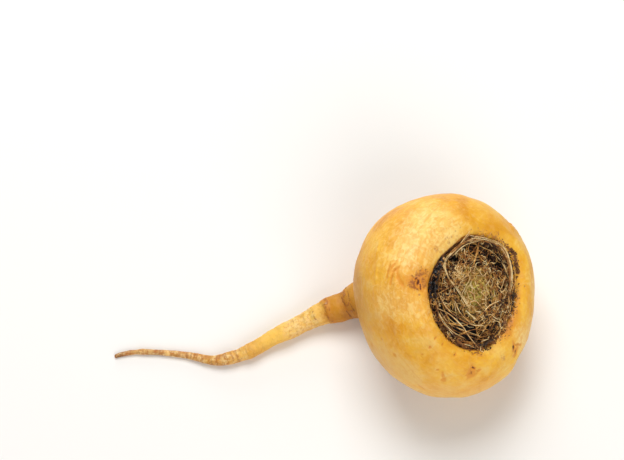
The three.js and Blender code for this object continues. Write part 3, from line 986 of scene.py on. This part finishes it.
def chopped(angle, share, length, rise, bend, heading):
    """A short curled path near a place in the nest, along a heading from straight out."""
    middle = nest_spot(angle, share, rise)
    tilt = random.gauss(0, 0.3)
    flat = level_way(math.radians(angle) + heading)
    cross = np.cross(crown_axis, flat)
    path = []
    for part in np.linspace(-0.5, 0.5, 6):
        curve = bend * length * (0.25 - part * part) * 2
        kink = 0.1 * length * math.sin(9 * part + heading)
        path.append(middle + flat * length * part + cross * (curve + kink)
                    + crown_axis * (tilt * length * part - 0.25 * abs(bend) * length * part * part))
    return path


# The large gaps: angle and spread, share and spread, and how open. The first two are the deep ones. At
# the last two the nest is fuller.
gaps = (
    (254, 22, 0.68, 0.15, 1.9), (226, 14, 0.66, 0.12, 1.9), (222, 14, 0.88, 0.07, 0.5),
    (170, 15, 0.96, 0.07, 0.6), (62, 9, 0.7, 0.07, 0.9), (30, 10, 0.78, 0.07, 1.0),
    (8, 10, 0.84, 0.06, 0.9), (92, 9, 0.84, 0.05, 0.9), (46, 12, 0.74, 0.09, 1.0),
    (136, 12, 0.88, 0.05, 0.6), (125, 16, 0.62, 0.14, -1.2), (178, 22, 0.62, 0.14, -1.2),
)


def gap_at(angle, share):
    """How open the nest is at a place, with small gaps all round besides the large ones."""
    holes = noise.noise(Vector(nest_spot(angle, share, 0)) / 1.7)
    open_here = max(0.0, holes) * 4.4 * min(1, share / 0.6)
    for middle, spread, share_middle, share_spread, strength in gaps:
        apart = (angle - middle + 180) % 360 - 180
        open_here += strength * math.exp(-((apart / spread) ** 2)
                                         - ((share - share_middle) / share_spread) ** 2)
    return min(max(open_here, 0.0), 1.0)


# Layers of the short ones: how many, from and to angle, from and to share, height and its spread,
# length, thickness, how far they turn from running round the hollow, and tones.
everywhere, right_side, painted_light_left = (0, 360), (-80, 62), (105, 200)
layers = (
    # The two deepest layers are almost all dark brown, darker than the fibres over them: painted shade
    # deep in the nest.
    (300, everywhere, 0.42, 0.97, -2.2, 0.5, 3.5, 0.24, 1.6, ("brown",)),
    (360, everywhere, 0.4, 0.98, -1.1, 0.4, 2.8, 0.24, 1.2, ("brown", "brown", "tan")),
    (220, everywhere, 0.4, 0.985, -0.1, 0.35, 2.4, 0.2, 1.1, ("straw", "pale", "tan", "brown", "brown")),
    (1080, everywhere, 0.38, 0.99, -0.05, 0.4, 1.3, 0.18, 2.0,
     ("tan", "straw", "tan", "straw", "pale", "brown", "brown", "brown", "pale")),
    (80, everywhere, 0.3, 0.62, 0.15, 0.2, 3.4, 0.16, 0.8, ("straw", "pale", "tan")),
    (330, everywhere, 0.05, 0.46, -0.05, 0.15, 1.9, 0.13, 0.6, ("olive", "straw", "straw", "tan")),
    (80, everywhere, 0.05, 0.44, 0.16, 0.15, 3.2, 0.14, 0.6, ("pale", "pale", "straw")),
    (360, right_side, 0.62, 1.0, -0.1, 0.35, 1.2, 0.17, 2.0, ("tan", "straw", "tan", "brown", "brown")),
    # Paler strands on the nest's left: painted light where the lip's shadow falls.
    (130, painted_light_left, 0.5, 0.82, 0.1, 0.3, 1.4, 0.18, 2.0, ("straw", "tan", "tan", "pale")),
)
strands = []
for count, ring, nearest_in, far_out, rise, rise_spread, length, thickness, turn_spread, palette in layers:
    laid_down = 0
    while laid_down < count:
        share = math.sqrt(random.uniform(nearest_in**2, far_out**2))
        angle = random.uniform(*ring)
        if random.random() < gap_at(angle, share) * (0.4 if rise < -1.5 else 1.0):
            continue
        laid_down += 1
        strands.append((random.choice(palette), thickness * random.uniform(0.7, 1.3), chopped(
            angle, share, length * random.uniform(0.4, 1.5), random.gauss(rise, rise_spread),
            random.gauss(0, 0.45), math.pi / 2 + random.gauss(0, turn_spread))))
laid("short_fibres", strands)

# The wool round the bud, a soft felted dome of the finest dry hairs, tan with green showing through.
bpy.ops.object.select_all(action="DESELECT")
bpy.ops.mesh.primitive_uv_sphere_add(segments=96, ring_count=48, radius=1)
wool = bpy.context.object
wool.name = "bud_wool"
ball = places(wool) / 1000

# Half as wide as the hollow, and 2 mm high over a middle that is a little less under the rim plane.
flat_turn = np.arctan2(ball[:, 1], ball[:, 0])
wide = 0.5 * edge_at(np.degrees(flat_turn))
spots = (bulb_centre + np.outer(ball[:, 0] * wide, crown_side) + np.outer(ball[:, 1] * wide, crown_far)
         + np.outer(ball[:, 2] * 2.0 + rim_height - 1.95, crown_axis))
put(wool, spots)
lift = 0.3 * rough(spots, 1.9, 71, 3) + 0.16 * rough(spots, 0.6, 72, 2)
hole = -1.4 * ease(rough(spots, 2.4, 73, 2), 0.25, 0.5) * ease(np.hypot(ball[:, 0], ball[:, 1]), 0.3, 0.7)
put(wool, spots + np.outer(lift + hole, crown_axis))


def blob(across, away, spread):
    """1 at a place on the dome, as shares of its half width, and 0 far from it."""
    return bell(np.hypot(ball[:, 0] - across, ball[:, 1] - away) / spread)


greens = blob(-0.3, 0.2, 0.2) + blob(0.2, -0.25, 0.26) + 0.6 * blob(-0.2, -0.2, 0.4)
purples = blob(0.24, 0.2, 0.16) + blob(0.52, -0.12, 0.16)
mark(wool, "green", np.clip(greens, 0, 1))
mark(wool, "purple", np.clip(purples, 0, 1))
felt = Finish("bud_wool")
where = felt.place()
tuft = felt.clouds(where, 0.0016, 3.0, 0.6, 3.0)


def web(size, shift):
    """Fine crossing hairs, 1 on a hair and 0 between."""
    bent = felt.node("ShaderNodeVectorMath", {"operation": "MULTIPLY_ADD"}, {
        0: felt.node("ShaderNodeTexNoise", {}, {"Vector": where, "Scale": 700}, "Color"),
        1: (size * 1.4,) * 3,
        2: felt.node("ShaderNodeVectorMath", {"operation": "ADD"}, {0: where, 1: (shift,) * 3}),
    })
    gap = felt.node("ShaderNodeTexVoronoi", {"feature": "DISTANCE_TO_EDGE"}, {
        "Vector": bent, "Scale": 1 / size,
    }, "Distance")
    return 1 - felt.step(gap, 0.02, 0.2)


hairs, fine_hairs = web(0.0013, 0.1), web(0.0008, 0.4)
colour = felt.coats(
    felt.ramp(tuft, (0.36, 104, 68, 20), (0.5, 178, 130, 52), (0.64, 216, 174, 88)),
    (158, 148, 30, felt.step(felt.kept("green") + tuft, 0.65, 1.15) * 0.85),
    (150, 104, 84, felt.kept("purple") * 0.45),
    (214, 178, 94, fine_hairs * 0.3),
    (240, 212, 134, hairs * felt.step(tuft, 0.42, 0.56) * 0.5),
)
felt.surface(
    Base_Color=colour, Roughness=0.9, Normal=felt.bump(hairs * 0.6 + fine_hairs * 0.3 + tuft * 0.4, 0.4),
)
wool.data.materials.append(felt.material)
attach(wool, "root")

# Crumbs of dried leaf and soil caught round the rim of the hollow, rich brown on the side where the
# lip is torn, and flakes of the old leaf bases, black and wet on the other side.
crumb_looks = {
    "crumb_dark": ((62, 38, 16), (112, 72, 36), (168, 120, 70), 0.85),
    "crumb_brown": ((110, 66, 32), (160, 104, 54), (200, 146, 86), 0.8),
    "crumb_tan": ((150, 98, 50), (200, 146, 86), (230, 186, 126), 0.8),
    "flake_wet": ((10, 8, 9), (40, 33, 34), (120, 106, 102), 0.16),
}
crumb_finish = {name: dried(name, *look) for name, look in crumb_looks.items()}
dark, brown, light, wet = crumb_looks  # the names of the four finishes


def scattered(name, model, placed):
    """Copies of a small model as one piece. Each has its finish, its middle, size and turn."""
    corners = np.array([tuple(vertex.co) for vertex in model.data.vertices])
    sides = [tuple(face.vertices) for face in model.data.polygons]
    all_corners, all_sides, finishes = [], [], []
    for finish, middle, size, turned in placed:
        start = len(all_corners) * len(corners)
        jitter = np.array([random.uniform(0.8, 1.25) for _ in corners])
        shaped = (corners * jitter[:, None] * size) @ np.array(turned).T + middle
        all_corners.append(shaped)
        all_sides += [tuple(corner + start for corner in side) for side in sides]
        finishes += [list(crumb_finish).index(finish)] * len(sides)
    mesh = bpy.data.meshes.new(name)
    mesh.from_pydata((np.concatenate(all_corners) / 1000).tolist(), [], all_sides)
    for finish in crumb_finish.values():
        mesh.materials.append(finish)
    mesh.polygons.foreach_set("material_index", finishes)
    piece = new_piece(name, mesh)
    bpy.ops.object.shade_smooth_by_angle(angle=math.radians(40))
    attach(piece, "root")


def any_turn():
    """A random turn as a matrix."""
    turned = Vector((random.gauss(0, 1), random.gauss(0, 1), random.gauss(0, 1))).normalized()
    return Quaternion(turned, random.uniform(0, math.pi)).to_matrix()


def on_lip(angle, beyond, up):
    """A place by the lip: angle in degrees, millimetres past the edge, height over what lies there."""
    radius = edge_at(angle) + beyond
    if beyond < 0:
        return crown_spot(angle, radius, up)
    start = Vector(crown_spot(angle, radius, 6.0) / 1000)  # well over the lip
    return np.array(skin.ray_cast(start, Vector(-crown_axis))[1]) * 1000 + crown_axis * up


# Where crumbs gather: finish, angle and spread, millimetres past the edge and spread, height and
# spread, how many, and size.
heaps = (
    (dark, 27, 8, 1.5, 0.35, 0.02, 0.1, 60, 0.32),
    (dark, 40, 5, 1.9, 0.35, 0.02, 0.1, 34, 0.32),
    (brown, 52, 8, 1.2, 0.5, 0.02, 0.08, 26, 0.24),
    (brown, 34, 14, 1.2, 0.9, 0.0, 0.08, 60, 0.26),
    (light, 60, 22, 0.8, 1.2, -0.04, 0.04, 40, 0.18),
    (light, 5, 24, 0.7, 1.2, 0.0, 0.04, 50, 0.16),
    (brown, 0, 26, 0.5, 1.1, 0.0, 0.04, 34, 0.16),
    (dark, -2, 5, 1.2, 0.4, 0.0, 0.06, 18, 0.24),
    (dark, -20, 5, 0.6, 0.4, 0.0, 0.06, 14, 0.24),
    (light, -38, 18, 0.5, 1.0, 0.0, 0.04, 34, 0.16),
    (brown, -42, 18, 0.4, 0.9, 0.0, 0.04, 20, 0.14),
    (dark, -78, 6, 0.3, 0.5, 0.02, 0.08, 24, 0.2),
    (brown, -90, 16, 0.2, 0.6, 0.02, 0.05, 34, 0.18),
    (brown, -122, 24, 0.0, 0.4, 0.0, 0.04, 14, 0.14),
    (dark, 190, 70, -1.0, 0.5, -1.6, 0.5, 100, 0.28),
    (brown, 190, 70, -0.8, 0.5, -1.2, 0.5, 70, 0.26),
    (brown, -30, 60, -0.9, 0.5, -1.2, 0.5, 40, 0.24),
    (light, -25, 55, -0.8, 0.6, -0.5, 0.4, 130, 0.18),
    (dark, 172, 18, -1.5, 1.0, -0.7, 0.6, 100, 0.3),
)
bpy.ops.object.select_all(action="DESELECT")
bpy.ops.mesh.primitive_ico_sphere_add(subdivisions=1, radius=1)
crumb = bpy.context.object
placed = []
for finish, turned, turn_spread, past, past_spread, up, up_spread, count, size in heaps:
    for _ in range(count):
        past_here = past + random.gauss(0, 0.6) * past_spread
        if past < -0.5:
            past_here = min(past_here, -0.25)
        middle = on_lip(turned + random.gauss(0, 0.6) * turn_spread, past_here,
                        up + random.gauss(0, 0.6) * up_spread)
        size_here = [size * random.uniform(0.35, 1.25) for _ in range(3)]
        placed.append((finish, middle, size_here, any_turn()))
scattered("crumbs", crumb, placed)
bpy.data.objects.remove(crumb)

bpy.ops.object.select_all(action="DESELECT")
bpy.ops.mesh.primitive_grid_add(x_subdivisions=4, y_subdivisions=3, size=2)
flake = bpy.context.object
for vertex in flake.data.vertices:
    vertex.co.z = 0.35 * vertex.co.x**2 + 0.2 * vertex.co.y * vertex.co.x
    vertex.co.x *= 1 - 0.25 * vertex.co.y
worked(flake, "SOLIDIFY", thickness=0.12, offset=0)

# Where flakes gather: finish, angle and spread, millimetres past the edge, height, how many, and size.
flake_heaps = (
    (wet, 175, 14, -1.1, -0.2, 50, 0.5), (wet, 154, 10, -0.9, -0.2, 22, 0.5),
    (light, 170, 20, -1.2, -0.1, 8, 0.3), (brown, 168, 20, -1.4, -0.3, 16, 0.4),
    (brown, 40, 16, -0.6, -0.6, 8, 0.6), (brown, 0, 40, -0.6, -0.8, 14, 0.6),
    (dark, -120, 40, -0.8, -1.2, 24, 0.8), (brown, -125, 30, -0.6, -0.9, 16, 0.8),
    (brown, -60, 40, -0.6, -0.9, 14, 0.7), (dark, 95, 34, -0.7, -1.0, 22, 0.8),
)
placed = []
for finish, turned, turn_spread, past, up, count, size in flake_heaps:
    for _ in range(count):
        angle = turned + random.gauss(0, 0.6) * turn_spread
        past_here = min(past + random.gauss(0, 0.45), -0.6)
        middle = crown_spot(angle, edge_at(angle) + past_here, random.gauss(up, 0.3))
        size_here = [size * random.uniform(0.6, 1.5), size * random.uniform(0.4, 0.9), size]
        placed.append((finish, middle, size_here, any_turn()))
scattered("flakes", flake, placed)
bpy.data.objects.remove(flake)

# Thin brown rootlets, dried on to the skin beside the crown. They are laid on it by knots, each in
# degrees round the crown and down from its axis.
def on_skin(angle, down_at, rise=0.05):
    """A place just over the skin, in degrees round the crown and down from its axis."""
    tilted = math.radians(down_at)
    out = level_way(math.radians(angle)) * math.sin(tilted) + crown_axis * math.cos(tilted)
    start = Vector((bulb_centre + out * 40) / 1000)  # well outside the bulb
    spot, facing = skin.ray_cast(start, Vector(-out))[1:3]
    return np.array(spot + facing * rise / 1000) * 1000


rootlets = (
    ((84, 46), (80, 48), (75, 49.5), (70, 49)),
    ((76, 46), (75, 49), (72, 51.5)),
    ((70, 46.5), (67, 49), (63, 49.5), (60, 49)),
    ((64, 48), (61, 51), (57, 52)),
    ((72, 48), (67, 46.5), (62, 46)),
    ((57, 46), (53, 48), (50, 48)),
)
strands = []
for knots in rootlets:
    path = []
    for (a, b), (c, d) in zip(knots, knots[1:]):
        for share in np.linspace(0, 1, 5)[:-1]:
            path.append(on_skin(a + (c - a) * share, b + (d - b) * share + 0.25 * math.sin(9 * share + a)))
    path.append(on_skin(*knots[-1]))
    strands.append(("rootlet", 0.19, path))
laid("skin_rootlets", strands)
